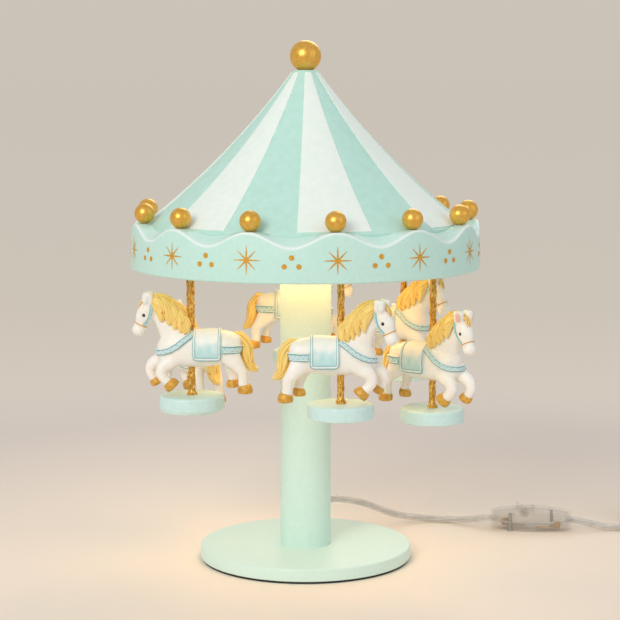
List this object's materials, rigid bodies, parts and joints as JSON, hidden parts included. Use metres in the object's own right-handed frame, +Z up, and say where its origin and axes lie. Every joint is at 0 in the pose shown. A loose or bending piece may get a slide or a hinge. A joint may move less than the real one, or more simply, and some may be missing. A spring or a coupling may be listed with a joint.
{
  "type": "carousel table lamp",
  "caption": "Lamp shaped like a fairground carousel: a tent roof with a scalloped cornice turns on a post above a round base, with horses on poles, a cord and a switch.",
  "frame": {"origin": "on the table, under the centre of the post", "axes": "+Z up along the post, -Y towards the front, +X to the right, where the cord leaves"},
  "size_m": [0.4638, 0.2697, 0.3659],
  "materials": {
    "pad_rubber": "matt black foam rubber",
    "mint_enamel": "pale mint enamel, satin",
    "steel": "plain steel",
    "grommet_pvc": "clear soft PVC",
    "circuit_board": "glass-fibre board",
    "white_plastic": "white moulded plastic",
    "light_chip": "warm white light chips",
    "opal_plastic": "opal acrylic, lit from above",
    "hub_brass": "turned brass",
    "mint_plastic": "pale mint paint on moulded plastic, satin",
    "roof_mint": "mint paint, satin",
    "roof_cream": "pale cream-mint paint, satin",
    "gold_ball": "satin gold",
    "gold_pole": "gold, twisted",
    "horse_resin": "hand-painted cast resin",
    "disc_wood": "mint-painted turned wood",
    "clear_shell": "clear moulded polycarbonate",
    "clear_pvc": "clear PVC over silvery cores",
    "plug_pvc": "clear moulded PVC",
    "plug_nickel": "nickel-plated brass"
  },
  "bodies": {
    "stand": {"foot_pad": "pad_rubber", "base_plate": "mint_enamel", "post_tube": "mint_enamel", "post_foot_plug": "steel", "base_bolt": "steel", "base_washer": "steel", "cord_grommet": "grommet_pvc", "driver_board": "circuit_board", "lamp_tray": "white_plastic", "gearmotor": "steel", "motor_screws": "steel", "shaft_bearing": "steel", "thrust_washer": "white_plastic", "led_board": "white_plastic", "led_chips": "light_chip", "diffuser": "opal_plastic", "switch_lower_shell": "clear_shell", "switch_upper_shell": "clear_shell", "rocker_pin": "steel", "switch_contacts": "hub_brass", "switch_screws": "steel", "cord_lead": "clear_pvc", "cord_tail": "clear_pvc", "cord_coil": "clear_pvc", "cord_end": "clear_pvc", "plug_body": "plug_pvc", "plug_pins": "plug_nickel"},
    "carousel": {"drive_shaft": "steel", "hub": "hub_brass", "hub_screws": "steel", "carrier_plate": "mint_plastic", "cornice": "mint_plastic", "roof_shell": "roof_mint", "roof_gores": "roof_cream", "finial": "gold_ball", "finial_nut": "steel", "rim_balls": "gold_ball", "pole_ferrules": "gold_pole", "pole_nuts": "steel", "disc_screws": "steel", "pole_1": "gold_pole", "pole_2": "gold_pole", "pole_3": "gold_pole", "pole_4": "gold_pole", "pole_5": "gold_pole", "pole_6": "gold_pole", "horse_1": "horse_resin", "horse_2": "horse_resin", "horse_3": "horse_resin", "horse_4": "horse_resin", "horse_5": "horse_resin", "horse_6": "horse_resin", "horse_disc_1": "disc_wood", "horse_disc_2": "disc_wood", "horse_disc_3": "disc_wood", "horse_disc_4": "disc_wood", "horse_disc_5": "disc_wood", "horse_disc_6": "disc_wood"},
    "rocker": {"switch_rocker": "clear_shell"}
  },
  "joints": [
    {"name": "carousel_spin", "type": "hinge", "parent": "stand", "child": "carousel", "pos_m": [0, 0, 0.2], "axis": [0, 0, 1], "continuous": true},
    {"name": "rocker_tilt", "type": "hinge", "parent": "stand", "child": "rocker", "pos_m": [0.16653, 0.08052, 0.0134], "axis": [0.1045, 0.9945, 0], "range_deg": [-14, 0]}
  ]
}
